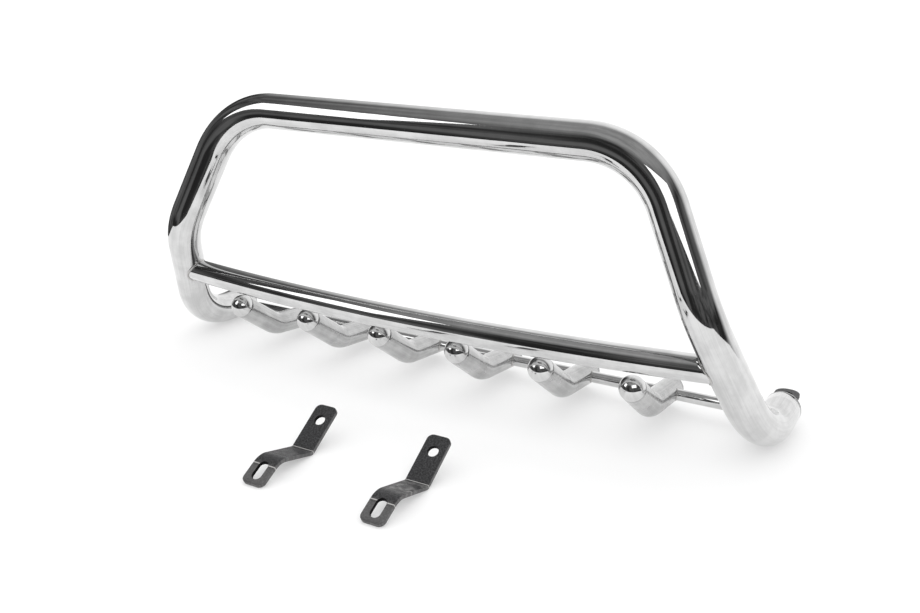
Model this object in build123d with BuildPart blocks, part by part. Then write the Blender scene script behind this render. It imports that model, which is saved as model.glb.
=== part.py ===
"""Front grille guard: a bent main hoop, a bowed cross bar, a row of bent teeth on a thin rod,
two frame tabs and the two loose cranked brackets that bolt them to the vehicle.

Millimetres. Seen from in front, +X is to the right, +Y is rearward and +Z is up, and left and right
in names are as seen from there.
The origin is midway between the two frame tab holes, on the tabs' upper face.
"""

import os
from math import atan, cos, radians, sin

from build123d import *

# --- main hoop: one bent tube -------------------------------------------------
hoop_dia = 60.0
hoop_wall = 2.0
bend_radius = 145.0  # on the tube's centreline, the same in every bend
top_half_width = 381.5  # centreline corner of the top run
knee_half_width = 488.0  # where the legs start to sweep rearward
leg_half_width = 567.0  # the rearward runs
knee_y = -270.0
knee_z = 206.0
top_rise = 225.0  # top run above the knees
top_lean = 39.0  # top run behind the knees
leg_drop = 223.0  # rearward runs below the knees
leg_sweep = 104.0  # lower corner behind the knees

# --- frame ends: plates, tabs -------------------------------------------------
plate_thick = 4.0
tab_width = 40.0
tab_thick = 6.0
tab_corner = 18.0
tab_hole_to_end = 23.0
tab_hole_to_plate = 22.0
bolt_hole_dia = 17.5  # clearance for M16

# --- cross bar ----------------------------------------------------------------
bar_dia = 42.0
bar_wall = 1.5
bar_y = -230.0  # at the legs
bar_z = 116.0
bar_bow = 43.0  # how far its middle stands forward of its ends
bar_half_span = 520.0  # to the legs' centrelines

# --- teeth --------------------------------------------------------------------
tooth_count = 6
tooth_pitch = 153.0
tooth_dia = 42.0
tooth_wall = 1.5
tooth_bend_radius = 60.0
tooth_front = (-240.0, 64.0)  # (y, z) of the front mouth's centre
tooth_low = (-152.0, 0.0)  # corner of the bent centreline
tooth_back = (-32.0, -17.0)
cap_wall = 1.5
plug_thick = 2.0

# --- rod that carries the teeth -----------------------------------------------
rod_dia = 20.0
rod_wall = 2.5
rod_y = -62.0
rod_z = -13.0

# --- loose brackets -----------------------------------------------------------
strip_width = 40.0
strip_thick = 6.0
strip_corner = 10.0
slot_flange = 50.0
middle_flange = 80.0
hole_flange = 85.0
front_bend_angle = 43.0
rear_bend_angle = 48.5
front_bend_radius = 36.0  # on the strip's middle plane, as is the next
rear_bend_radius = 8.0
slot_width = 16.0
slot_length = 32.0
slot_centre = 25.0  # from the slotted end
hole_from_end = 28.0
left_bracket_tip = (-62.5, -604.5)  # (x, y) of the slotted end
right_bracket_tip = (148.0, -607.5)

# --- worked out from the above --------------------------------------------------
run_z = knee_z - leg_drop
floor_z = run_z - hoop_dia / 2
plate_front_y = -tab_hole_to_plate - plate_thick


def hoop_points():
    """Corners of the hoop's centreline, from the left rear end round to the right one."""
    right = [
        (top_half_width, knee_y + top_lean, knee_z + top_rise),
        (knee_half_width, knee_y, knee_z),
        (leg_half_width, knee_y + leg_sweep, run_z),
        (leg_half_width, plate_front_y, run_z),
    ]
    left = [(-x, y, z) for x, y, z in reversed(right)]
    return left + right


def tube_ring(diameter, wall):
    """Ring section of a tube, on the current sketch plane."""
    Circle(diameter / 2)
    Circle(diameter / 2 - wall, mode=Mode.SUBTRACT)


def start_plane(path):
    """Plane across the start of a path, looking along it."""
    return Plane(origin=path @ 0, z_dir=path % 0)


def save(name, part):
    """Label a finished piece and write it under its own name."""
    part.label = name
    export_step(part, f"parts/{name}.step")


os.makedirs("parts", exist_ok=True)

# --- main hoop ------------------------------------------------------------------
with BuildLine() as hoop_path:
    FilletPolyline(*hoop_points(), radius=bend_radius)
hoop_wire = hoop_path.wire()

with BuildPart() as hoop:
    with BuildSketch(start_plane(hoop_wire)):
        tube_ring(hoop_dia, hoop_wall)
    sweep(path=hoop_wire)
save("main_hoop", hoop.part)

with BuildPart() as hoop_envelope:
    with BuildSketch(start_plane(hoop_wire)):
        Circle(hoop_dia / 2)
    sweep(path=hoop_wire)

# --- cross bar: bowed forward, both ends coped to the legs ------------------------
with BuildLine() as bar_path:
    ThreePointArc(
        (-bar_half_span, bar_y, bar_z),
        (0, bar_y - bar_bow, bar_z),
        (bar_half_span, bar_y, bar_z),
    )
bar_wire = bar_path.wire()

with BuildPart() as cross_bar:
    with BuildSketch(start_plane(bar_wire)):
        tube_ring(bar_dia, bar_wall)
    sweep(path=bar_wire)
    add(hoop_envelope.part, mode=Mode.SUBTRACT)
save("cross_bar", cross_bar.part)

# --- tooth rod: straight, through every tooth, both ends coped ---------------------
rod_plane = Plane(origin=(-leg_half_width, rod_y, rod_z), x_dir=(0, 1, 0), z_dir=(1, 0, 0))

with BuildPart() as tooth_rod:
    with BuildSketch(rod_plane):
        tube_ring(rod_dia, rod_wall)
    extrude(amount=2 * leg_half_width)
    add(hoop_envelope.part, mode=Mode.SUBTRACT)
save("tooth_rod", tooth_rod.part)

with BuildPart() as rod_envelope:
    with BuildSketch(rod_plane):
        Circle(rod_dia / 2)
    extrude(amount=2 * leg_half_width)

# --- teeth: bent tube, domed cap in front, flat plug behind ------------------------
for index in range(tooth_count):
    number = index + 1
    tooth_x = (index - (tooth_count - 1) / 2) * tooth_pitch
    corners = [(tooth_x, *tooth_front), (tooth_x, *tooth_low), (tooth_x, *tooth_back)]

    with BuildLine() as tooth_path:
        FilletPolyline(*corners, radius=tooth_bend_radius)
    tooth_wire = tooth_path.wire()
    front_plane = Plane(origin=tooth_wire @ 0, x_dir=(1, 0, 0), z_dir=tooth_wire % 0)
    back_plane = Plane(origin=tooth_wire @ 1, x_dir=(1, 0, 0), z_dir=tooth_wire % 1)

    with BuildPart() as tooth:
        with BuildSketch(front_plane):
            tube_ring(tooth_dia, tooth_wall)
        sweep(path=tooth_wire)
        add(rod_envelope.part, mode=Mode.SUBTRACT)
    save(f"tooth_{number}", tooth.part)

    with BuildPart(front_plane) as dome:
        Sphere(tooth_dia / 2)
        Sphere(tooth_dia / 2 - cap_wall, mode=Mode.SUBTRACT)
        split(bisect_by=front_plane, keep=Keep.BOTTOM)
    save(f"tooth_{number}_dome", dome.part)

    with BuildPart() as plug:
        with BuildSketch(back_plane):
            Circle(tooth_dia / 2)
        extrude(amount=plug_thick)
    save(f"tooth_{number}_plug", plug.part)

# --- end plates and frame tabs ------------------------------------------------------
for side, side_x in (("left", -leg_half_width), ("right", leg_half_width)):
    plate_plane = Plane(origin=(side_x, plate_front_y, run_z), x_dir=(1, 0, 0), z_dir=(0, 1, 0))
    with BuildPart() as end_plate:
        with BuildSketch(plate_plane):
            Circle(hoop_dia / 2)
        extrude(amount=plate_thick)
        chamfer(end_plate.faces().sort_by(Axis.Y)[-1].edges(), 0.8)
    save(f"{side}_end_plate", end_plate.part)

    tab_length = tab_hole_to_plate + tab_hole_to_end
    tab_middle_y = (tab_hole_to_end - tab_hole_to_plate) / 2
    with BuildPart() as tab:
        with BuildSketch(Plane((side_x, 0, -tab_thick))):
            with Locations((0, tab_middle_y)):
                tab_outline = Rectangle(tab_width, tab_length)
            fillet(tab_outline.vertices().group_by(Axis.Y)[-1], tab_corner)
            Circle(bolt_hole_dia / 2, mode=Mode.SUBTRACT)
        extrude(amount=tab_thick)
    save(f"{side}_tab", tab.part)

# --- loose cranked brackets, lying on the floor in front ------------------------------
# A strip rests on its slotted tip and on its rear bend, so this is the middle flange's slope.
front_bend = radians(front_bend_angle)
middle_slope = atan(slot_flange * sin(front_bend) / (middle_flange + slot_flange * cos(front_bend)))
slot_slope = front_bend - middle_slope
hole_slope = radians(rear_bend_angle) - middle_slope

for side, (middle_x, front_y) in (("left", left_bracket_tip), ("right", right_bracket_tip)):
    tip = (front_y, floor_z + strip_thick / 2 * cos(slot_slope))
    bend_front = (tip[0] + slot_flange * cos(slot_slope), tip[1] + slot_flange * sin(slot_slope))
    bend_rear = (
        bend_front[0] + middle_flange * cos(middle_slope),
        bend_front[1] - middle_flange * sin(middle_slope),
    )
    far_end = (bend_rear[0] + hole_flange * cos(hole_slope), bend_rear[1] + hole_flange * sin(hole_slope))
    slot_middle = (tip[0] + slot_centre * cos(slot_slope), tip[1] + slot_centre * sin(slot_slope))
    hole_middle = (
        far_end[0] - hole_from_end * cos(hole_slope),
        far_end[1] - hole_from_end * sin(hole_slope),
    )

    # the strip is swept across its width, so its own plane looks along +X
    strip_plane = Plane(origin=(middle_x, 0, 0), x_dir=(0, 1, 0), z_dir=(1, 0, 0))
    slot_plane = Plane(
        origin=(middle_x, *slot_middle),
        x_dir=(0, cos(slot_slope), sin(slot_slope)),
        z_dir=(0, -sin(slot_slope), cos(slot_slope)),
    )
    hole_plane = Plane(
        origin=(middle_x, *hole_middle),
        x_dir=(0, cos(hole_slope), sin(hole_slope)),
        z_dir=(0, -sin(hole_slope), cos(hole_slope)),
    )
    with BuildPart() as bracket:
        with BuildSketch(strip_plane):
            with BuildLine():
                strip_line = FilletPolyline(
                    tip, bend_front, bend_rear, far_end, radius=(front_bend_radius, rear_bend_radius)
                )
            trace(strip_line, line_width=strip_thick)
        extrude(amount=strip_width / 2, both=True)
        end_edges = bracket.edges().filter_by(lambda edge: abs(edge.length - strip_thick) < 0.01)
        fillet(end_edges, strip_corner)
        with BuildSketch(slot_plane):
            SlotOverall(slot_length, slot_width)
        extrude(amount=strip_thick, both=True, mode=Mode.SUBTRACT)
        with BuildSketch(hole_plane):
            Circle(bolt_hole_dia / 2)
        extrude(amount=strip_thick, both=True, mode=Mode.SUBTRACT)
    save(f"{side}_bracket", bracket.part)
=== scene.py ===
import math

import bmesh
import bpy
from bpy.props import FloatProperty, FloatVectorProperty, IntProperty, PointerProperty
from mathutils import Matrix, Vector


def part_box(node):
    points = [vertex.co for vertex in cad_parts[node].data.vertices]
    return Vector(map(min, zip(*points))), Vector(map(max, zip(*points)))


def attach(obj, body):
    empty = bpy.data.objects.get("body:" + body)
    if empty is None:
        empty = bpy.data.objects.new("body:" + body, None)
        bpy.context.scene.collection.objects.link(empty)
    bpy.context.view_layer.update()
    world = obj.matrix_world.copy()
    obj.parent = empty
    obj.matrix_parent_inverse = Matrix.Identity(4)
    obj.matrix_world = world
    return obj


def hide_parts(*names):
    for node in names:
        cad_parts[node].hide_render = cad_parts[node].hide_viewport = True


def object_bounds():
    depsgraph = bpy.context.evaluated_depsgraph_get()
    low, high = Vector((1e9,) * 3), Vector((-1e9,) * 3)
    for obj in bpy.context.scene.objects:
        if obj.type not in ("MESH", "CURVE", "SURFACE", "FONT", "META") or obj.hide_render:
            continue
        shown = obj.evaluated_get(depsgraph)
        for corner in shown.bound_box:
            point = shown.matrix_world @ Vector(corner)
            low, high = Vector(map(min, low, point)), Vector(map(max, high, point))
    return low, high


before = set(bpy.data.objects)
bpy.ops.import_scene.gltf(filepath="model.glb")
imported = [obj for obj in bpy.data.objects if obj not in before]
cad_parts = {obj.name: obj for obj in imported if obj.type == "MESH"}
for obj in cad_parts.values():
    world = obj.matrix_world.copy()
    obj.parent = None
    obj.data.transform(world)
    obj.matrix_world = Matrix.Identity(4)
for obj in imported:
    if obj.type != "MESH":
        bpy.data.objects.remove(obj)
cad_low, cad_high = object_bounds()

bl_info = {
    "name": "Grille Guard Builder",
    "version": (1, 0, 0),
    "blender": (4, 5, 0),
    "location": "View3D > Sidebar > Grille Guard",
    "description": "Builds a polished front grille guard with its loose mounting brackets",
    "category": "Object",
}

GUARD = "guard"  # the welded body
SIDES = (("left", -1.0), ("right", 1.0))
MM = 0.001

# how finely round pieces are cut: sides round, and rows up a dome
HOOP_SIDES, TUBE_SIDES, ROD_SIDES, DOME_ROWS = 128, 96, 64, 36
# how far a coped end reaches into the leg, and the share of a tube's half length that is clear of it
COPE_OVERLAP, CLEAR_SHARE = 0.4 * MM, 0.7
PLUG_THICKNESS = 2 * MM
BAR_BEAD, ROD_BEAD, TOOTH_BEAD = 1.7 * MM, 1.4 * MM, 1.3 * MM  # weld bead radii
FLOOR_SHEET = (-1.35, 1.45, -0.86, 2.9)  # left, right, front and back of the mirrored floor
FLOOR_REACH, FLOOR_GAP = 12.0, 0.2 * MM


# --- sizes and finishes that a user would change ----------------------------------


def length(name, description, default):
    """A length property in metres."""
    return FloatProperty(
        name=name, description=description, default=default, subtype="DISTANCE", unit="LENGTH", precision=4
    )


def angle(name, description, default):
    """An angle property, given in degrees."""
    return FloatProperty(
        name=name,
        description=description,
        default=math.radians(default),
        subtype="ANGLE",
        unit="ROTATION",
    )


def color(name, description, default):
    """A plain colour property."""
    return FloatVectorProperty(
        name=name, description=description, default=default, subtype="COLOR", size=3, min=0.0, max=1.0
    )


def amount(name, description, default):
    """A share from 0 to 1."""
    return FloatProperty(
        name=name, description=description, default=default, min=0.0, max=1.0, subtype="FACTOR"
    )


def strength(name, description, default):
    """A light's power in watts."""
    return FloatProperty(
        name=name, description=description, default=default, min=0.0, subtype="POWER", unit="POWER"
    )


class GuardHoop(bpy.types.PropertyGroup):
    """Sizes of the main hoop and the cross bar."""

    bend_radius: length("Bend Radius", "Centreline radius of every bend in the main tube", 0.145)
    top_half_width: length("Top Half Width", "Centreline corner of the top run", 0.3815)
    knee_half_width: length("Knee Half Width", "Where the legs start to sweep rearward", 0.488)
    knee_y: length("Knee Y", "Front position of the knees", -0.270)
    knee_z: length("Knee Z", "Height of the knees", 0.206)
    top_lean: length("Top Lean", "Top run behind the knees", 0.039)
    leg_sweep: length("Leg Sweep", "Lower corners behind the knees", 0.104)
    bar_bow: length("Bar Bow", "How far the cross bar's middle stands forward of its ends", 0.043)
    bar_half_span: length("Bar Half Span", "Cross bar's centreline to the legs' centrelines", 0.520)


class GuardTeeth(bpy.types.PropertyGroup):
    """Sizes of the bent teeth."""

    count: IntProperty(name="Teeth", description="Number of teeth", default=6, min=1)
    bend_radius: length("Bend Radius", "Centreline radius of a tooth's bend", 0.060)
    mouth_y: length("Mouth Y", "Front end of a tooth's tube", -0.240)
    mouth_z: length("Mouth Z", "Height of a tooth's front end", 0.064)
    low_y: length("Low Y", "Corner of a tooth's bent centreline", -0.152)
    low_z: length("Low Z", "Height of that corner", 0.0)
    back_y: length("Back Y", "Rear end of a tooth's tube", -0.032)
    back_z: length("Back Z", "Height of a tooth's rear end", -0.017)


class GuardStrip(bpy.types.PropertyGroup):
    """Sizes of the loose cranked brackets and of the frame tabs."""

    slot_flange: length("Slot Flange", "Slotted end to the front bend", 0.050)
    middle_flange: length("Middle Flange", "Front bend to the rear bend", 0.080)
    hole_flange: length("Hole Flange", "Rear bend to the far end", 0.085)
    front_bend: angle("Front Bend", "Angle of the front bend", 43.0)
    rear_bend: angle("Rear Bend", "Angle of the rear bend", 48.5)
    front_radius: length("Front Radius", "Radius of the front bend on the middle plane", 0.036)
    rear_radius: length("Rear Radius", "Radius of the rear bend on the middle plane", 0.008)
    thickness: length("Thickness", "Thickness of the strip", 0.006)
    corner: length("Corner", "Rounding of the strip's ends", 0.010)
    slot_width: length("Slot Width", "Width of the slot", 0.016)
    slot_length: length("Slot Length", "Overall length of the slot", 0.032)
    slot_centre: length("Slot Centre", "Slot's middle from the slotted end", 0.025)
    hole_diameter: length("Hole Diameter", "Clearance hole for the mounting bolt", 0.0175)
    hole_from_end: length("Hole From End", "Hole's middle from the far end", 0.028)
    tab_corner: length("Tab Corner", "Rounding of a frame tab's rear corners", 0.018)
    edge: length("Edge", "Softened edge all round", 0.0007)


class GuardFinish(bpy.types.PropertyGroup):
    """Colours and finishes."""

    steel: color("Steel", "Polished stainless steel", (0.66, 0.66, 0.66))
    steel_roughness: amount("Steel Roughness", "Roughness of the polish", 0.045)
    steel_streaks: amount("Steel Streaks", "Depth of the buffing lines", 0.14)
    # darker teeth: partly their duller brushed finish, partly painted shade for the shadowed floor under
    # them that they mirror
    tooth_tone_and_shade: amount("Tooth Tone", "Brightness of the teeth against the main tube", 0.76)
    tooth_roughness: amount("Tooth Roughness", "Roughness of the duller teeth", 0.20)
    weld: color("Weld", "Cleaned weld bead", (0.62, 0.61, 0.60))
    paint: color("Paint", "Black paint", (0.018, 0.018, 0.019))
    bare: color("Bare", "Steel showing through rubbed paint", (0.48, 0.47, 0.46))


class GuardStudio(bpy.types.PropertyGroup):
    """Camera, floor and lights."""

    azimuth: angle("Azimuth", "Camera's angle round the guard", 29.19)
    elevation: angle("Elevation", "Camera's angle above the floor", 19.61)
    distance: length("Distance", "Camera to the point it looks at", 1.62)
    target: FloatVectorProperty(
        name="Target",
        description="Point the camera looks at",
        default=(0.0870, -0.2475, 0.1469),
        subtype="XYZ",
        unit="LENGTH",
    )
    lens: FloatProperty(
        name="Lens", description="Focal length on a 36 mm sensor", default=39.13, subtype="DISTANCE_CAMERA"
    )
    floor: color("Floor", "Pale floor", (0.93, 0.93, 0.93))
    room: FloatProperty(name="Room", description="Even light all round, 1 is white", default=1.35, min=0.0)
    dim: amount("Dim", "Brightness of the dim room that the polish mirrors", 0.07)
    ceiling: amount("Ceiling", "Brightness of the mirrored ceiling", 0.26)
    wall: amount("Wall", "Brightness of the mirrored wall behind", 1.0)
    floor_glow: amount("Floor Glow", "How far the floor's shadows are filled", 0.40)
    front_left: strength("Front Left", "Power of the left softbox", 6.5)
    front_right: strength("Front Right", "Power of the right softbox", 11.0)


GROUPS = {
    "guard_hoop": GuardHoop,
    "guard_teeth": GuardTeeth,
    "guard_strip": GuardStrip,
    "guard_finish": GuardFinish,
    "guard_studio": GuardStudio,
}


# --- places read from the frame -----------------------------------------------------


def middle(name):
    """Middle of a CAD node's box."""
    low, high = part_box(name)
    return (low + high) / 2


def tube_radius(name):
    """Radius of a level tube node, from its box's height."""
    low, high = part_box(name)
    return (high.z - low.z) / 2


def tooth_place(number):
    """Middle and tube radius of one tooth, across the guard."""
    low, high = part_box(f"tooth_{number}")
    return (low.x + high.x) / 2, (high.x - low.x) / 2


def hoop_radius():
    """Radius of the main tube, from the end plate that closes it."""
    low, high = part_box("left_end_plate")
    return (high.x - low.x) / 2


def hoop_corners(hoop):
    """Corners of the hoop's centreline, from the left rear end round to the right one."""
    low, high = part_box("main_hoop")
    radius = hoop_radius()
    leg_x = high.x - radius
    run_z = low.z + radius
    right = [
        Vector((hoop.top_half_width, hoop.knee_y + hoop.top_lean, high.z - radius)),
        Vector((hoop.knee_half_width, hoop.knee_y, hoop.knee_z)),
        Vector((leg_x, hoop.knee_y + hoop.leg_sweep, run_z)),
        Vector((leg_x, high.y, run_z)),
    ]
    left = [Vector((-p.x, p.y, p.z)) for p in reversed(right)]
    return left + right


def leg_line(hoop, side):
    """Straight lower leg of one side, as a point and a direction."""
    corners = hoop_corners(hoop)
    knee, low = (corners[2], corners[1]) if side < 0 else (corners[5], corners[6])
    return knee, (low - knee).normalized()


def run_line(hoop, side):
    """Rearward run of one side, as a point and a direction."""
    return hoop_corners(hoop)[1 if side < 0 else 6], Vector((0, 1, 0))


def tooth_corners(teeth, x):
    """Corners of one tooth's centreline, front to back."""
    return [
        Vector((x, teeth.mouth_y, teeth.mouth_z)),
        Vector((x, teeth.low_y, teeth.low_z)),
        Vector((x, teeth.back_y, teeth.back_z)),
    ]


# --- mesh helpers ---------------------------------------------------------------------


def turns(count):
    """Even turns round a circle."""
    return [2 * math.pi * k / count for k in range(count)]


def rounded_route(corners, radii, run_step, arc_step):
    """Points and tangents along straight runs joined by tangent arcs, one radius for each bend."""
    route = []

    def add_run(start, end):
        """Adds a straight run in even steps."""
        steps = max(1, round((end - start).length / run_step))
        heading = (end - start).normalized()
        for i in range(steps + 1):
            route.append((start.lerp(end, i / steps), heading.copy()))

    cursor = corners[0]
    for before, corner, after, radius in zip(corners, corners[1:], corners[2:], radii):
        into = (corner - before).normalized()
        out = (after - corner).normalized()
        turn = into.angle(out)
        tangent = radius * math.tan(turn / 2)
        arc_start = corner - into * tangent
        add_run(cursor, arc_start)
        axis = into.cross(out).normalized()
        centre = arc_start + axis.cross(into) * radius
        steps = max(2, math.ceil(turn / arc_step))
        for i in range(1, steps):
            spin = Matrix.Rotation(turn * i / steps, 3, axis)
            route.append((centre + spin @ (arc_start - centre), spin @ into))
        cursor = corner + out * tangent
    add_run(cursor, corners[-1])
    return route


def frames_along(route, first_side):
    """A side and an up direction at every point, turned as little as possible along the route."""
    frames = []
    side = first_side
    for _point, heading in route:
        side = (side - heading * side.dot(heading)).normalized()
        frames.append((side.copy(), heading.cross(side)))
    return frames


def route_lengths(route):
    """Distance travelled at every point of a route."""
    total = [0.0]
    for (here, _), (there, _) in zip(route, route[1:]):
        total.append(total[-1] + (there - here).length)
    return total


def ring(bm, centre, side, up, radius, count):
    """Points of a circle, in the plane of side and up."""
    return [
        bm.verts.new(centre + side * (radius * math.cos(turn)) + up * (radius * math.sin(turn)))
        for turn in turns(count)
    ]


def skin_rings(bm, rings, lengths, radius, close_start=True, close_end=True):
    """Skins a list of vertex rings, with a UV map of length along and metres around."""
    uv = bm.loops.layers.uv.new("along_around")
    count = len(rings[0])
    around = 2 * math.pi * radius / count
    for near, far, start, end in zip(rings, rings[1:], lengths, lengths[1:]):
        for i in range(count):
            j = (i + 1) % count
            face = bm.faces.new((near[i], near[j], far[j], far[i]))
            spots = (
                (start, i * around),
                (start, (i + 1) * around),
                (end, (i + 1) * around),
                (end, i * around),
            )
            for loop, spot in zip(face.loops, spots):
                loop[uv].uv = spot
    if close_start:
        bm.faces.new(list(reversed(rings[0])))
    if close_end:
        bm.faces.new(rings[-1])


def tube_mesh(route, radius, sides, first_side):
    """A closed round tube along a route."""
    bm = bmesh.new()
    rings = [
        ring(bm, point, side, up, radius, sides)
        for (point, _heading), (side, up) in zip(route, frames_along(route, first_side))
    ]
    skin_rings(bm, rings, route_lengths(route), radius)
    return bm


def new_object(name, bm, material, body, plate=False):
    """Makes a mesh object from a bmesh and lets it ride on its body."""
    mesh = bpy.data.meshes.new(name)
    bmesh.ops.recalc_face_normals(bm, faces=bm.faces)
    bm.to_mesh(mesh)
    bm.free()
    for polygon in mesh.polygons:
        polygon.use_smooth = plate or len(polygon.vertices) <= 4
    mesh.materials.append(material)
    obj = bpy.data.objects.new(name, mesh)
    bpy.context.scene.collection.objects.link(obj)
    if plate:
        flatten = obj.modifiers.new("flat_faces", "WEIGHTED_NORMAL")
        flatten.weight = 100
    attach(obj, body)
    return obj


def steel_piece(name, bm, material, replaced=None):
    """Makes a steel piece of the welded guard, in place of a CAD node if one is given."""
    piece = new_object(name, bm, material, GUARD)
    if replaced:
        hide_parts(replaced)


# --- shader helpers -------------------------------------------------------------------


def node(tree, kind, at, **settings):
    """Adds a shader node, with its properties and its inputs' values."""
    made = tree.nodes.new(kind)
    made.location = at
    for key, value in settings.items():
        if key in made.inputs:
            made.inputs[key].default_value = value
        else:
            setattr(made, key, value)
    return made


def maths(tree, operation, at, *values):
    """One maths step between sockets and numbers."""
    step = node(tree, "ShaderNodeMath", at, operation=operation)
    for index, value in enumerate(values):
        if isinstance(value, (int, float)):
            step.inputs[index].default_value = value
        else:
            tree.links.new(value, step.inputs[index])
    return step.outputs["Value"]


def ramp(tree, value, start, end, at, low=0.0, high=1.0, smooth=True):
    """Goes from low to high as a value goes from start to end."""
    step = node(tree, "ShaderNodeMapRange", at, interpolation_type="SMOOTHSTEP" if smooth else "LINEAR")
    for key, number in (("From Min", start), ("From Max", end), ("To Min", low), ("To Max", high)):
        step.inputs[key].default_value = number
    tree.links.new(value, step.inputs["Value"])
    return step.outputs["Result"]


def noise(tree, vector, at, scale, detail, roughness=0.5, stretch=None, turn=0.0):
    """A noise pattern, if wanted with a scale of its own in each direction and turned."""
    if stretch:
        place = node(tree, "ShaderNodeMapping", (at[0] - 250, at[1]), Scale=(*stretch, 1.0))
        place.inputs["Rotation"].default_value = (0.0, 0.0, turn)
        tree.links.new(vector, place.inputs["Vector"])
        vector = place.outputs["Vector"]
    made = node(tree, "ShaderNodeTexNoise", at, Scale=scale, Detail=detail, Roughness=roughness)
    tree.links.new(vector, made.inputs["Vector"])
    return made.outputs["Fac"]


def blend(tree, share, first, second, at):
    """Mixes two colours, each a socket or plain red, green and blue."""
    mix = node(tree, "ShaderNodeMix", at, data_type="RGBA")
    tree.links.new(share, mix.inputs[0])
    for socket, shade in ((mix.inputs[6], first), (mix.inputs[7], second)):
        if isinstance(shade, tuple):
            socket.default_value = (*shade, 1.0)
        else:
            tree.links.new(shade, socket)
    return mix.outputs[2]


def bump(tree, height, depth, distance, at, under=None):
    """Bumps the surface by a height pattern, on top of another bump if one is given."""
    made = node(tree, "ShaderNodeBump", at, Strength=depth, Distance=distance)
    tree.links.new(height, made.inputs["Height"])
    if under:
        tree.links.new(under, made.inputs["Normal"])
    return made.outputs["Normal"]


def scaled(shade, share):
    """A colour made darker or brighter, and no brighter than white."""
    return tuple(min(part * share, 1.0) for part in shade)


def new_material(name):
    """A material with a Principled shader, returned with its tree and shader."""
    material = bpy.data.materials.new(name)
    material.use_nodes = True
    tree = material.node_tree
    return material, tree, tree.nodes["Principled BSDF"]


# --- materials ------------------------------------------------------------------------


def steel_tube(finish, name, tone_share, roughness, streaks):
    """Polished tube with buffing lines along it, hazy patches and a slight waviness."""
    material, tree, shader = new_material(name)
    shader.inputs["Metallic"].default_value = 1.0
    link = tree.links.new
    uv = node(tree, "ShaderNodeUVMap", (-1700, 0), uv_map="along_around").outputs["UV"]
    place = node(tree, "ShaderNodeTexCoord", (-1700, -450)).outputs["Object"]
    lines = noise(tree, uv, (-1200, 100), 1.0, 5.0, 0.65, stretch=(9.0, 700.0))
    bands = noise(tree, uv, (-1200, -150), 1.0, 3.0, 0.55, stretch=(7.0, 130.0))
    haze = noise(tree, place, (-1200, -400), 14.0, 4.0, 0.55)
    wave = noise(tree, place, (-1200, -650), 9.0, 1.0, 0.4)
    cloud = noise(tree, place, (-1200, 350), 26.0, 5.0, 0.6)

    rough = ramp(tree, haze, 0.35, 0.75, (-700, -300), roughness * 0.6, roughness * 1.8, smooth=False)
    link(rough, shader.inputs["Roughness"])
    both = maths(tree, "ADD", (-1050, 100), lines, bands)
    both = maths(tree, "MULTIPLY_ADD", (-950, 200), both, 0.6, cloud)
    spread = ramp(tree, both, 0.85, 1.35, (-750, 150))
    # tone_share darkens the whole tube; on the teeth that darkening is partly painted shade
    dark = scaled(finish.steel, tone_share * (1.0 - streaks))
    bright = scaled(finish.steel, tone_share * (1.0 + streaks * 0.5))
    link(blend(tree, spread, dark, bright, (-500, 200)), shader.inputs["Base Color"])
    fine = bump(tree, lines, 0.05, 0.0002, (-500, -400))
    link(bump(tree, wave, 0.10, 0.0015, (-250, -400), fine), shader.inputs["Normal"])
    return material


def weld_steel(finish, name):
    """Cleaned weld bead: duller and a little darker than the tubes."""
    material, tree, shader = new_material(name)
    shader.inputs["Metallic"].default_value = 1.0
    link = tree.links.new
    place = node(tree, "ShaderNodeTexCoord", (-900, 0)).outputs["Object"]
    grain = noise(tree, place, (-700, 0), 600.0, 4.0)
    tone = blend(tree, grain, scaled(finish.weld, 0.7), tuple(finish.weld), (-450, 100))
    link(tone, shader.inputs["Base Color"])
    rough = ramp(tree, grain, 0.0, 1.0, (-450, -150), 0.18, 0.42, smooth=False)
    link(rough, shader.inputs["Roughness"])
    link(bump(tree, grain, 0.25, 0.0003, (-250, -350)), shader.inputs["Normal"])
    return material


def press_mark(tree, along, where, half, at):
    """A mask that is 1 on a line across the strip and 0 away from it."""
    offset = maths(tree, "SUBTRACT", at, along, where)
    distance = maths(tree, "ABSOLUTE", (at[0] + 160, at[1]), offset)
    return ramp(tree, distance, half * 1.5, half * 0.5, (at[0] + 320, at[1]))


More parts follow.
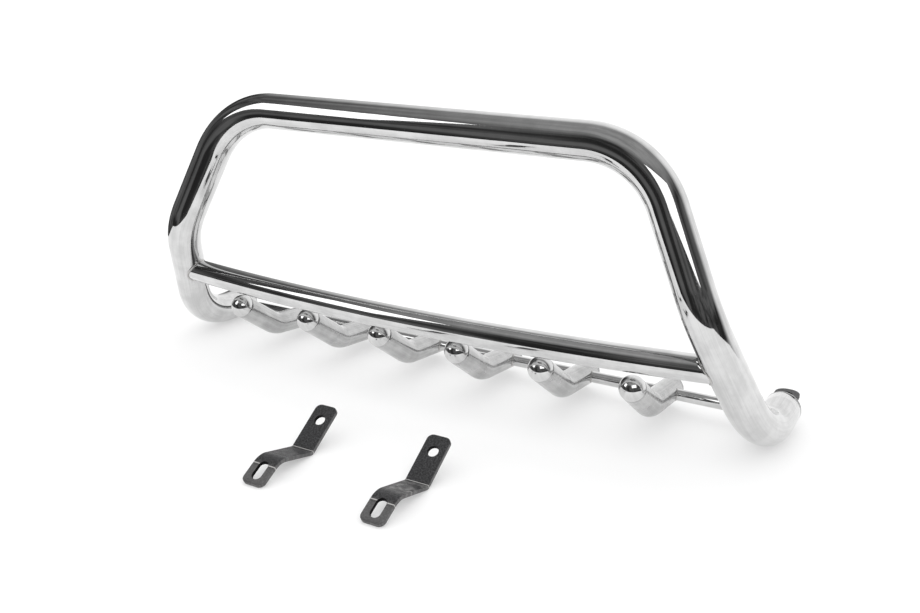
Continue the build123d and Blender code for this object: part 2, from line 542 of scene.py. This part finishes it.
def black_paint(finish, name, wear, marks=(), patch_span=(0.0, 0.0)):
    """Black paint over steel: grain, scratches, rubbed rims, press marks and one rubbed flange, with painted
    shade on the walls of the holes and the slot.
    """
    material, tree, shader = new_material(name)
    link = tree.links.new
    uv = node(tree, "ShaderNodeUVMap", (-2000, 0), uv_map="along_across").outputs["UV"]
    split = node(tree, "ShaderNodeSeparateXYZ", (-1800, 300))
    link(uv, split.inputs["Vector"])
    along = split.outputs["X"]
    rim = node(tree, "ShaderNodeAttribute", (-1600, 900), attribute_name="rim").outputs["Fac"]
    # mask of the walls of the holes and the slot, where shade is painted
    inside = node(tree, "ShaderNodeAttribute", (-500, 650), attribute_name="bore_shade").outputs["Fac"]
    blotch = noise(tree, uv, (-1600, 0), 70.0, 6.0, 0.7)
    scratch = noise(tree, uv, (-1600, -300), 1.0, 4.0, 0.75, stretch=(40.0, 1400.0), turn=0.35)
    grain = noise(tree, uv, (-1600, -600), 700.0, 4.0, 0.7)
    speckle = noise(tree, uv, (-1600, -900), 380.0, 3.0, 0.75)
    patches = ramp(tree, blotch, 0.42, 0.72, (-1300, 0))
    scuffs = ramp(tree, scratch, 0.60, 0.74, (-1300, -300))

    low, high = patch_span
    rubbed = press_mark(tree, along, (low + high) / 2, max((high - low) / 2, MM), (-1600, 600))
    rubbed = maths(tree, "MULTIPLY", (-1000, 600), rubbed, patches)
    rubbed = maths(tree, "MULTIPLY", (-850, 600), rubbed, 0.55 * wear)
    scuffs = maths(tree, "MULTIPLY", (-1000, -300), scuffs, 0.06 + 0.20 * wear)
    share = maths(tree, "MAXIMUM", (-700, 300), rubbed, scuffs)
    rim_base = maths(tree, "MULTIPLY", (-1000, 1050), rim, 0.07)
    rim_share = maths(tree, "MULTIPLY", (-1000, 900), rim, patches)
    rim_share = maths(tree, "MULTIPLY_ADD", (-850, 900), rim_share, 0.16, rim_base)
    share = maths(tree, "MAXIMUM", (-560, 400), share, rim_share)
    if marks:
        # the flange in front of the first mark is greyer all over
        front_half = marks[0][0] / 2
        front_grey = press_mark(tree, along, front_half, front_half, (-1600, 750))
        front_grey = maths(tree, "MULTIPLY", (-1000, 750), front_grey, grain)
        front_grey = maths(tree, "MULTIPLY", (-850, 750), front_grey, 0.25)
        share = maths(tree, "MAXIMUM", (-500, 450), share, front_grey)
    for index, (where, depth) in enumerate(marks):
        row = 1200 + 300 * index
        line = press_mark(tree, along, where, 0.75 * MM, (-1600, row))
        broken = maths(tree, "MULTIPLY_ADD", (-1000, row), grain, 0.9 * depth, 0.4 * depth)
        line = maths(tree, "MULTIPLY", (-850, row), line, broken)
        share = maths(tree, "MAXIMUM", (-420, 500), share, line)

    mottle = ramp(tree, speckle, 0.36, 0.68, (-1300, -900))
    base = blend(tree, mottle, scaled(finish.paint, 0.35), scaled(finish.paint, 3.2), (-500, 0))
    tone = blend(tree, share, base, tuple(finish.bare), (-300, 200))
    # painted shade: the walls of the holes and the slot are darkened towards black, standing in for the
    # shade inside them
    shaded = blend(tree, inside, tone, scaled(finish.paint, 0.2), (-150, 300))
    link(shaded, shader.inputs["Base Color"])
    # the same painted shade also lowers the shine on those walls
    gloss = ramp(tree, inside, 0.0, 1.0, (-300, 650), 0.5, 0.05, smooth=False)
    link(gloss, shader.inputs["Specular IOR Level"])
    rough = ramp(tree, grain, 0.3, 0.7, (-300, -100), 0.34, 0.62, smooth=False)
    link(rough, shader.inputs["Roughness"])
    link(bump(tree, grain, 0.6, 0.0003, (-300, -400)), shader.inputs["Normal"])
    return material


def kept_material(build, name, *settings):
    """The named material, built on first use."""
    finish = bpy.context.scene.guard_finish
    return bpy.data.materials.get(name) or build(finish, name, *settings)


def steel():
    """The main tubes' polish."""
    finish = bpy.context.scene.guard_finish
    return kept_material(steel_tube, "polished_steel", 1.0, finish.steel_roughness, finish.steel_streaks)


def tooth_steel():
    """The teeth's duller, brushed finish, with a darker colour that is partly painted shade for the shadowed
    floor that they mirror.
    """
    finish = bpy.context.scene.guard_finish
    streaks = finish.steel_streaks * 1.5
    return kept_material(steel_tube, "brushed_teeth", finish.tooth_tone_and_shade, finish.tooth_roughness, streaks)


def weld():
    """The weld beads' finish."""
    return kept_material(weld_steel, "weld_bead")


def tab_paint():
    """The frame tabs' paint."""
    return kept_material(black_paint, "tab_paint", 0.4)


def bracket_paint(label):
    """The strip's paint, worn at its bends; the right one's middle flange is rubbed more."""
    front, rear = bend_spans(bpy.context.scene.guard_strip)
    wear = 0.35 if label == "left" else 1.0
    marks = ((front[0], 1.0), ((rear[0] + rear[1]) / 2 + 1.5 * MM, 1.0), (front[1] + 3 * MM, 0.3))
    return kept_material(black_paint, f"bracket_paint_{label}", wear, marks, (front[1], rear[0]))


# --- pieces ----------------------------------------------------------------------------


class GUARD_OT_main_hoop(bpy.types.Operator):
    """Builds the bent main tube"""

    bl_idname = "guard.main_hoop"
    bl_label = "Main Hoop"

    def execute(self, context):
        hoop = context.scene.guard_hoop
        route = rounded_route(hoop_corners(hoop), [hoop.bend_radius] * 6, 0.02, math.radians(1.5))
        bm = tube_mesh(route, hoop_radius(), HOOP_SIDES, Vector((0, 0, 1)))
        steel_piece("hoop_tube", bm, steel(), "main_hoop")
        return {"FINISHED"}


def leg_gap(point, knee, leg):
    """Distance of a point from a leg's centreline."""
    away = point - knee
    return (away - leg * away.dot(leg)).length


def surface_share(line_at, turn, inside, outside, knee, leg, radius):
    """Share along a tube's skin line at which it meets a leg's surface."""
    for _ in range(40):
        halfway = (inside + outside) / 2
        if leg_gap(line_at(halfway, turn), knee, leg) < radius:
            inside = halfway
        else:
            outside = halfway
    return (inside + outside) / 2


def coped_ends(line_at, line_of, inset):
    """For each end of a tube, a function from the turn to the share at which its skin meets the leg."""
    radius = hoop_radius() - inset
    ends = []
    for _label, side in SIDES:
        knee, leg = line_of(side)
        ends.append(
            lambda turn, side=side, knee=knee, leg=leg: surface_share(
                line_at, turn, side, side * CLEAR_SHARE, knee, leg, radius
            )
        )
    return ends


def coped_tube(line_at, ends, radius, sides, rows):
    """A tube between two legs, each end cut to the leg's round surface."""
    bm = bmesh.new()
    spans = [(turn, *[share_of(turn) for share_of in ends]) for turn in turns(sides)]
    rings = [
        [bm.verts.new(line_at(low + (high - low) * r / rows, turn)) for turn, low, high in spans]
        for r in range(rows + 1)
    ]
    _turn, low, high = spans[0]
    skin_rings(bm, rings, [(high - low) * r / rows for r in range(rows + 1)], radius)
    return bm


def bar_line(hoop):
    """Skin lines of the bowed cross bar, a function of the share of its half length and the turn."""
    radius = tube_radius("cross_bar")
    low, _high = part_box("cross_bar")
    half = hoop.bar_half_span
    bow = hoop.bar_bow
    sweep_radius = (half * half + bow * bow) / (2 * bow)
    centre = Vector((0, low.y + radius + sweep_radius, middle("cross_bar").z))

    def line_at(share, turn):
        """Point on the bar's skin."""
        swing = math.asin(share * half / sweep_radius)
        outward = Vector((math.sin(swing), -math.cos(swing), 0))
        ring_spot = outward * (radius * math.cos(turn)) + Vector((0, 0, 1)) * (radius * math.sin(turn))
        return centre + outward * sweep_radius + ring_spot

    return line_at, radius


def rod_line():
    """Skin lines of the straight rod, a function of the share of its half length and the turn."""
    radius = tube_radius("tooth_rod")
    spot = middle("tooth_rod")
    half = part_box("main_hoop")[1].x - hoop_radius()

    def line_at(share, turn):
        """Point on the rod's skin."""
        return Vector((share * half, spot.y + radius * math.cos(turn), spot.z + radius * math.sin(turn)))

    return line_at, radius


class GUARD_OT_cross_bar(bpy.types.Operator):
    """Builds the bowed cross bar, coped to the legs"""

    bl_idname = "guard.cross_bar"
    bl_label = "Cross Bar"

    def execute(self, context):
        hoop = context.scene.guard_hoop
        line_at, radius = bar_line(hoop)
        ends = coped_ends(line_at, lambda side: leg_line(hoop, side), COPE_OVERLAP)
        steel_piece("bowed_bar", coped_tube(line_at, ends, radius, TUBE_SIDES, 160), steel(), "cross_bar")
        return {"FINISHED"}


class GUARD_OT_tooth_rod(bpy.types.Operator):
    """Builds the thin rod that carries the teeth"""

    bl_idname = "guard.tooth_rod"
    bl_label = "Tooth Rod"

    def execute(self, context):
        hoop = context.scene.guard_hoop
        line_at, radius = rod_line()
        ends = coped_ends(line_at, lambda side: run_line(hoop, side), COPE_OVERLAP)
        steel_piece("thin_rod", coped_tube(line_at, ends, radius, ROD_SIDES, 8), steel(), "tooth_rod")
        return {"FINISHED"}


def dome_mesh(centre, heading, side, radius, sides, rows):
    """A half round cap facing along heading, closed by a flat face."""
    bm = bmesh.new()
    up = heading.cross(side)
    lifts = [(math.pi / 2) * r / rows for r in range(rows)]
    rings = [
        ring(bm, centre + heading * (radius * math.sin(lift)), side, up, radius * math.cos(lift), sides)
        for lift in lifts
    ]
    skin_rings(bm, rings, [radius * lift for lift in lifts], radius, close_end=False)
    tip = bm.verts.new(centre + heading * radius)
    for near, far in zip(rings[-1], rings[-1][1:] + rings[-1][:1]):
        bm.faces.new((near, far, tip))
    return bm


def plug_mesh(centre, heading, side, radius, thickness, sides):
    """A flat plug with a softened rim."""
    bm = bmesh.new()
    up = heading.cross(side)
    rim = min(thickness * 0.6, 1.2 * MM)
    profile = [(radius, 0.0), (radius, thickness - rim)]
    for i in range(1, 7):
        turn = (math.pi / 2) * i / 6
        profile.append((radius - rim + rim * math.cos(turn), thickness - rim + rim * math.sin(turn)))
    rings = [ring(bm, centre + heading * depth, side, up, reach, sides) for reach, depth in profile]
    skin_rings(bm, rings, [depth for _reach, depth in profile], radius)
    return bm


class GUARD_OT_teeth(bpy.types.Operator):
    """Builds the bent teeth with their domes and rear plugs"""

    bl_idname = "guard.teeth"
    bl_label = "Teeth"

    def execute(self, context):
        teeth = context.scene.guard_teeth
        side = Vector((1, 0, 0))
        for number in range(1, teeth.count + 1):
            x, radius = tooth_place(number)
            route = rounded_route(tooth_corners(teeth, x), [teeth.bend_radius], 0.008, math.radians(2.0))
            tube = tube_mesh(route, radius, TUBE_SIDES, side)
            steel_piece(f"tooth_tube_{number}", tube, tooth_steel(), f"tooth_{number}")
            mouth, heading = route[0]
            dome = dome_mesh(mouth, -heading, side, radius, TUBE_SIDES, DOME_ROWS)
            steel_piece(f"tooth_cap_{number}", dome, steel(), f"tooth_{number}_dome")
            back, heading = route[-1]
            plug = plug_mesh(back, heading, side, radius, PLUG_THICKNESS, TUBE_SIDES)
            steel_piece(f"tooth_end_{number}", plug, tooth_steel(), f"tooth_{number}_plug")
        return {"FINISHED"}


def bead_mesh(loop, radius, pitch, sides=10):
    """A rippled weld bead along a closed loop of points."""
    bm = bmesh.new()
    rings = []
    travelled = 0.0
    side = (loop[1] - loop[-1]).normalized().orthogonal().normalized()
    for before, point, after in zip(loop[-1:] + loop[:-1], loop, loop[1:] + loop[:1]):
        heading = (after - before).normalized()
        side = (side - heading * side.dot(heading)).normalized()
        swell = radius * (1.0 + 0.14 * abs(math.sin(math.pi * travelled / pitch)))
        rings.append(ring(bm, point, side, heading.cross(side), swell, sides))
        travelled += (after - point).length
    first, last = rings[0], rings[-1]
    shift = min(range(sides), key=lambda s: (last[0].co - first[s].co).length)
    rings.append(first[shift:] + first[:shift])
    for near, far in zip(rings, rings[1:]):
        for i in range(sides):
            j = (i + 1) % sides
            bm.faces.new((near[i], near[j], far[j], far[i]))
    return bm


class GUARD_OT_welds(bpy.types.Operator):
    """Builds the weld beads where tubes meet"""

    bl_idname = "guard.welds"
    bl_label = "Welds"

    def execute(self, context):
        hoop = context.scene.guard_hoop
        joints = (
            ("bar_weld", bar_line(hoop), lambda side: leg_line(hoop, side), BAR_BEAD, 200),
            ("rod_weld", rod_line(), lambda side: run_line(hoop, side), ROD_BEAD, 110),
        )
        for name, (line_at, _radius), line_of, bead, steps in joints:
            for (label, _side), share_of in zip(SIDES, coped_ends(line_at, line_of, 0.0)):
                loop = [line_at(share_of(turn), turn) for turn in turns(steps)]
                steel_piece(f"{name}_{label}", bead_mesh(loop, bead, 2.2 * MM), weld())
        self.tooth_welds(context.scene.guard_teeth)
        return {"FINISHED"}

    @staticmethod
    def tooth_welds(teeth):
        """Beads where the rod enters and leaves each tooth."""
        rod_at, _radius = rod_line()
        for number in range(1, teeth.count + 1):
            x, radius = tooth_place(number)
            _mouth, corner, back = tooth_corners(teeth, x)
            heading = (back - corner).normalized()
            for label, side in SIDES:
                loop = []
                for turn in turns(90):
                    skin = rod_at(0.0, turn)
                    away = Vector((0, skin.y - corner.y, skin.z - corner.z))
                    off = (away - heading * away.dot(heading)).length
                    loop.append(Vector((x + side * math.sqrt(radius**2 - off**2), skin.y, skin.z)))
                steel_piece(f"tooth_weld_{number}_{label}", bead_mesh(loop, TOOTH_BEAD, 2.0 * MM), weld())


# --- flat plates: outline, holes and softened edges, then bent -----------------------------


def outline_spline(curve, points):
    """Adds a closed straight-sided spline to a flat curve."""
    spline = curve.splines.new("POLY")
    spline.points.add(len(points) - 1)
    for spot, (x, y) in zip(spline.points, points):
        spot.co = (x, y, 0, 1)
    spline.use_cyclic_u = True


def rounded_rectangle(x0, x1, y0, y1, corners, steps=10):
    """Outline of a rectangle whose corners have their own radii, anticlockwise from low x and y."""
    spots = []
    places = ((x0, y0, 180), (x1, y0, 270), (x1, y1, 0), (x0, y1, 90))
    for (x, y, start), radius in zip(places, corners):
        cx = x + radius if x == x0 else x - radius
        cy = y + radius if y == y0 else y - radius
        if radius == 0:
            spots.append((x, y))
            continue
        for i in range(steps + 1):
            turn = math.radians(start + 90 * i / steps)
            spots.append((cx + radius * math.cos(turn), cy + radius * math.sin(turn)))
    return spots


def circle_spots(x, y, radius, count=48):
    """Outline of a round hole."""
    return [(x + radius * math.cos(turn), y + radius * math.sin(turn)) for turn in turns(count)]


def plate_mesh(outlines, thickness, edge):
    """A flat plate of the given outlines, centred on its thickness, with softened edges."""
    curve = bpy.data.curves.new("plate_outline", "CURVE")
    curve.dimensions = "2D"
    curve.fill_mode = "BOTH"
    curve.extrude = thickness / 2 - edge
    curve.bevel_depth = edge
    curve.bevel_resolution = 2
    curve.offset = -edge
    for points in outlines:
        outline_spline(curve, points)
    holder = bpy.data.objects.new("plate_outline", curve)
    mesh = bpy.data.meshes.new_from_object(holder)
    bm = bmesh.new()
    bm.from_mesh(mesh)
    bmesh.ops.remove_doubles(bm, verts=bm.verts, dist=1e-6)
    bpy.data.objects.remove(holder)
    bpy.data.curves.remove(curve)
    bpy.data.meshes.remove(mesh)
    return bm


def cut_across(bm, stations):
    """Cuts the plate across at each x, so that it can bend there."""
    for x in stations:
        everything = bm.verts[:] + bm.edges[:] + bm.faces[:]
        bmesh.ops.bisect_plane(bm, geom=everything, plane_co=(x, 0, 0), plane_no=(1, 0, 0), dist=1e-7)


def stamp_flat(bm, thickness, start, end, half):
    """Keeps the flat strip's place for the paint: metres along and across, its outer rim, and the walls of
    its holes and slot, which the paint darkens as painted shade.

    The underside's map lies a metre further along, so that press marks stay on the upper face.
    """
    uv = bm.loops.layers.uv.new("along_across")
    rim = bm.verts.layers.float.new("rim")
    bore_shade = bm.verts.layers.float.new("bore_shade")
    margin = 0.3 * half
    for vert in bm.verts:
        on_wall = abs(vert.co.z) < thickness / 2 - 0.05 * MM
        outside = abs(vert.co.y) > 0.5 * half or not start + margin < vert.co.x < end - margin
        vert[rim] = 1.0 if on_wall and outside else 0.0
        # the walls of the holes and the slot, which get painted shade
        vert[bore_shade] = 1.0 if on_wall and not outside else 0.0
    for face in bm.faces:
        shift = 1.0 if face.calc_center_median().z < 0 else 0.0
        for loop in face.loops:
            loop[uv].uv = (loop.vert.co.x + shift, loop.vert.co.y)


class GUARD_OT_tabs(bpy.types.Operator):
    """Builds the end plates and the two frame tabs"""

    bl_idname = "guard.tabs"
    bl_label = "Frame Tabs"

    def execute(self, context):
        strip = context.scene.guard_strip
        for label, _side in SIDES:
            low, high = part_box(f"{label}_tab")
            centre_x = (low.x + high.x) / 2
            half = (high.x - low.x) / 2
            r = strip.tab_corner
            outline = rounded_rectangle(low.y, high.y, -half, half, (0, r, r, 0))
            hole = circle_spots(0, 0, strip.hole_diameter / 2)
            bm = plate_mesh([outline, hole], high.z - low.z, strip.edge)
            stamp_flat(bm, high.z - low.z, low.y, high.y, half)
            lift = (low.z + high.z) / 2
            for vert in bm.verts:
                along, across, up = vert.co
                vert.co = Vector((centre_x - across, along, lift + up))
            tab = new_object(f"frame_tab_{label}", bm, tab_paint(), GUARD, plate=True)
            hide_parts(f"{label}_tab")

            low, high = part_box(f"{label}_end_plate")
            spot = (low + high) / 2
            front = Vector((spot.x, low.y, spot.z))
            rearward, side = Vector((0, 1, 0)), Vector((1, 0, 0))
            plate = plug_mesh(front, rearward, side, (high.x - low.x) / 2, high.y - low.y, HOOP_SIDES)
            steel_piece(f"hoop_end_{label}", plate, steel(), f"{label}_end_plate")
        return {"FINISHED"}


def flange_slopes(strip):
    """Slopes of the bent strip's three flanges, as it lies on its tip and its rear bend."""
    swing = strip.front_bend
    slope = math.atan2(
        strip.slot_flange * math.sin(swing), strip.middle_flange + strip.slot_flange * math.cos(swing)
    )
    return [swing - slope, -slope, strip.rear_bend - slope]


def bend_spans(strip):
    """Where each bend starts and ends, as lengths along the flattened strip."""
    spans = []
    travelled = 0.0
    cut = 0.0
    bends = (
        (strip.slot_flange, strip.front_bend, strip.front_radius),
        (strip.middle_flange, strip.rear_bend, strip.rear_radius),
    )
    for flange, bend, radius in bends:
        tangent = radius * math.tan(bend / 2)
        start = travelled + flange - cut - tangent
        travelled = start + radius * bend
        cut = tangent
        spans.append((start, travelled))
    return spans


def strip_route(strip, tip):
    """Stations along the flat strip, each with its place and direction once bent."""
    flanges = (strip.slot_flange, strip.middle_flange, strip.hole_flange)
    corners = [tip]
    for slope, flange in zip(flange_slopes(strip), flanges):
        corners.append(corners[-1] + Vector((0, math.cos(slope), math.sin(slope))) * flange)
    return rounded_route(corners, [strip.front_radius, strip.rear_radius], 0.012, math.radians(4.0))


class GUARD_OT_brackets(bpy.types.Operator):
    """Builds the two loose cranked brackets"""

    bl_idname = "guard.brackets"
    bl_label = "Loose Brackets"

    def execute(self, context):
        strip = context.scene.guard_strip
        lean = strip.thickness / 2
        tip_slope = flange_slopes(strip)[0]
        r = strip.corner
        slot_start = strip.slot_centre - strip.slot_length / 2
        slot_r = strip.slot_width / 2
        slot = rounded_rectangle(slot_start, slot_start + strip.slot_length, -slot_r, slot_r, [slot_r] * 4)
        for label, _side in SIDES:
            low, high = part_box(f"{label}_bracket")
            half = (high.x - low.x) / 2
            tip_y = low.y + lean * math.sin(tip_slope)
            tip_z = low.z + lean * math.cos(tip_slope)
            route = strip_route(strip, Vector(((low.x + high.x) / 2, tip_y, tip_z)))
            stations = route_lengths(route)
            total = stations[-1]
            outline = rounded_rectangle(0, total, -half, half, (r, r, r, r))
            hole = circle_spots(total - strip.hole_from_end, 0, strip.hole_diameter / 2)
            bm = plate_mesh([outline, slot, hole], strip.thickness, strip.edge)
            cut_across(bm, stations[1:-1])
            stamp_flat(bm, strip.thickness, 0.0, total, half)
            self.bend(bm, route, stations)
            name, paint = f"cranked_strip_{label}", bracket_paint(label)
            piece = new_object(name, bm, paint, f"{label}_bracket", plate=True)
            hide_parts(f"{label}_bracket")
        return {"FINISHED"}

    @staticmethod
    def bend(bm, route, stations):
        """Moves a flat strip's points onto its bent middle line."""
        for vert in bm.verts:
            along, across, up = vert.co
            k = max(i for i, s in enumerate(stations) if s <= along + 1e-7 or i == 0)
            k = min(k, len(stations) - 2)
            share = (along - stations[k]) / (stations[k + 1] - stations[k])
            point = route[k][0].lerp(route[k + 1][0], share)
            heading = route[k][1].lerp(route[k + 1][1], share).normalized()
            normal = Vector((0, -heading.z, heading.y))
            vert.co = Vector((point.x - across, point.y, point.z)) + normal * up


# --- floor, lights and camera ------------------------------------------------------------------


def softbox(name, place, target, size, power):
    """A rectangular light that faces a point, seen only in reflections."""
    light = bpy.data.lights.new(name, "AREA")
    light.shape = "RECTANGLE"
    light.size, light.size_y = size
    light.energy = power
    lamp = bpy.data.objects.new(name, light)
    lamp.location = place
    lamp.rotation_euler = (Vector(target) - Vector(place)).to_track_quat("-Z", "Y").to_euler()
    lamp.visible_camera = False
    lamp.visible_diffuse = False
    bpy.context.scene.collection.objects.link(lamp)


class GUARD_OT_stage(bpy.types.Operator):
    """Adds the floor, the soft studio lights and the camera"""

    bl_idname = "guard.stage"
    bl_label = "Stage"

    def execute(self, context):
        studio = context.scene.guard_studio
        self.floor(studio)
        self.lights(context, studio)
        self.room(context, studio)
        self.camera(context, studio)
        return {"FINISHED"}

    def floor(self, studio):
        """A white sheet that the polish mirrors, and the same floor all round it, which it doesn't."""
        material, _tree, shader = new_material("floor_white")
        shader.inputs["Base Color"].default_value = (*scaled(studio.floor, 1.0 - studio.floor_glow), 1.0)
        shader.inputs["Emission Color"].default_value = (*studio.floor, 1.0)
        shader.inputs["Emission Strength"].default_value = studio.floor_glow
        shader.inputs["Roughness"].default_value = 1.0
        shader.inputs["Specular IOR Level"].default_value = 0.0
        left, right, front, back = FLOOR_SHEET
        around = (
            (-FLOOR_REACH, left, -FLOOR_REACH, FLOOR_REACH),
            (right, FLOOR_REACH, -FLOOR_REACH, FLOOR_REACH),
            (left, right, -FLOOR_REACH, front),
            (left, right, back, FLOOR_REACH),
        )
        flat = self.floor_mesh("floor_sheet", [FLOOR_SHEET], material)
        rest = self.floor_mesh("floor_around", around, material)
        rest.visible_glossy = False

    @staticmethod
    def floor_mesh(name, rectangles, material):
        """Flat rectangles just under the guard, each given by its left, right, front and back."""
        z = cad_low.z - FLOOR_GAP
        bm = bmesh.new()
        for left, right, front, back in rectangles:
            corners = ((left, front), (right, front), (right, back), (left, back))
            bm.faces.new([bm.verts.new((x, y, z)) for x, y in corners])
        mesh = bpy.data.meshes.new(name)
        bm.to_mesh(mesh)
        bm.free()
        mesh.materials.append(material)
        obj = bpy.data.objects.new(name, mesh)
        bpy.context.scene.collection.objects.link(obj)
        return obj

    def lights(self, context, studio):
        """Two softboxes that the polish mirrors."""
        centre = (cad_low + cad_high) / 2
        softbox("front_left", (-1.52, -1.62, 1.42), centre, (0.95, 1.10), studio.front_left)
        softbox("front_right", (1.53, -1.92, 1.69), centre, (1.75, 1.05), studio.front_right)
        context.scene.view_settings.view_transform = "Standard"

    def room(self, context, studio):
        """Even white light all round, which the polish sees as a dim room with a pale wall behind."""
        world = context.scene.world or bpy.data.worlds.new("room")
        context.scene.world = world
        world.use_nodes = True
        tree = world.node_tree
        tree.nodes.clear()
        link = tree.links.new
        heading = node(tree, "ShaderNodeTexCoord", (-1500, 0)).outputs["Generated"]
        split = node(tree, "ShaderNodeSeparateXYZ", (-1300, 0))
        link(heading, split.inputs["Vector"])
        ceiling = ramp(tree, split.outputs["Z"], 0.55, 0.85, (-1100, 200), high=studio.ceiling)
        wall = ramp(tree, split.outputs["Y"], 0.22, 0.72, (-1100, -50), high=studio.wall)
        left_end = ramp(tree, split.outputs["X"], -0.74, -0.42, (-1100, -300))
        pale = maths(tree, "MAXIMUM", (-900, 100), ceiling, wall)
        pale = maths(tree, "MULTIPLY", (-750, 0), pale, left_end)
        clutter = noise(tree, heading, (-1100, -550), 2.4, 3.0, 0.55)
        dim = ramp(tree, clutter, 0.38, 0.64, (-900, -550), studio.dim * 0.35, studio.dim * 1.9)
        mirrored = node(tree, "ShaderNodeBackground", (-250, 0), Color=(1, 1, 1, 1))
        link(maths(tree, "ADD", (-600, -200), pale, dim), mirrored.inputs["Strength"])
        even = node(tree, "ShaderNodeBackground", (-250, -150), Color=(1, 1, 1, 1), Strength=studio.room)
        path = node(tree, "ShaderNodeLightPath", (-250, 300))
        mixed = node(tree, "ShaderNodeMixShader", (0, 0))
        link(path.outputs["Is Glossy Ray"], mixed.inputs[0])
        link(even.outputs["Background"], mixed.inputs[1])
        link(mirrored.outputs["Background"], mixed.inputs[2])
        output = node(tree, "ShaderNodeOutputWorld", (200, 0))
        link(mixed.outputs["Shader"], output.inputs["Surface"])

    def camera(self, context, studio):
        """Camera at its angle round the guard, level, with no shift."""
        camera = bpy.data.cameras.new("camera")
        camera.lens = studio.lens
        camera.sensor_width = 36.0
        camera.clip_end = 50.0
        obj = bpy.data.objects.new("camera", camera)
        level = math.cos(studio.elevation)
        outward = Vector(
            (math.sin(studio.azimuth) * level, -math.cos(studio.azimuth) * level, math.sin(studio.elevation))
        )
        obj.location = Vector(studio.target) + outward * studio.distance
        obj.rotation_euler = outward.to_track_quat("Z", "Y").to_euler()
        context.scene.collection.objects.link(obj)
        context.scene.camera = obj


# --- panel and registration ----------------------------------------------------------------------

OPERATORS = (
    GUARD_OT_main_hoop,
    GUARD_OT_cross_bar,
    GUARD_OT_tooth_rod,
    GUARD_OT_teeth,
    GUARD_OT_tabs,
    GUARD_OT_brackets,
    GUARD_OT_welds,
    GUARD_OT_stage,
)


class GUARD_PT_panel(bpy.types.Panel):
    """Lists the guard's pieces"""

    bl_label = "Grille Guard"
    bl_idname = "GUARD_PT_panel"
    bl_space_type = "VIEW_3D"
    bl_region_type = "UI"
    bl_category = "Grille Guard"

    def draw(self, context):
        """Draws one button for each operator."""
        column = self.layout.column()
        for operator in OPERATORS:
            column.operator(operator.bl_idname)


def register():
    """Adds the sizes, the operators and the panel."""
    for group in GROUPS.values():
        bpy.utils.register_class(group)
    for name, group in GROUPS.items():
        setattr(bpy.types.Scene, name, PointerProperty(type=group))
    for operator in OPERATORS:
        bpy.utils.register_class(operator)
    bpy.utils.register_class(GUARD_PT_panel)


def unregister():
    """Takes away what register added."""
    bpy.utils.unregister_class(GUARD_PT_panel)
    for operator in reversed(OPERATORS):
        bpy.utils.unregister_class(operator)
    for name in GROUPS:
        delattr(bpy.types.Scene, name)
    for group in reversed(list(GROUPS.values())):
        bpy.utils.unregister_class(group)


def main():
    """Builds every piece."""
    register()
    for operator in OPERATORS:
        group, name = operator.bl_idname.split(".")
        getattr(getattr(bpy.ops, group), name)()


if __name__ == "__main__":
    main()
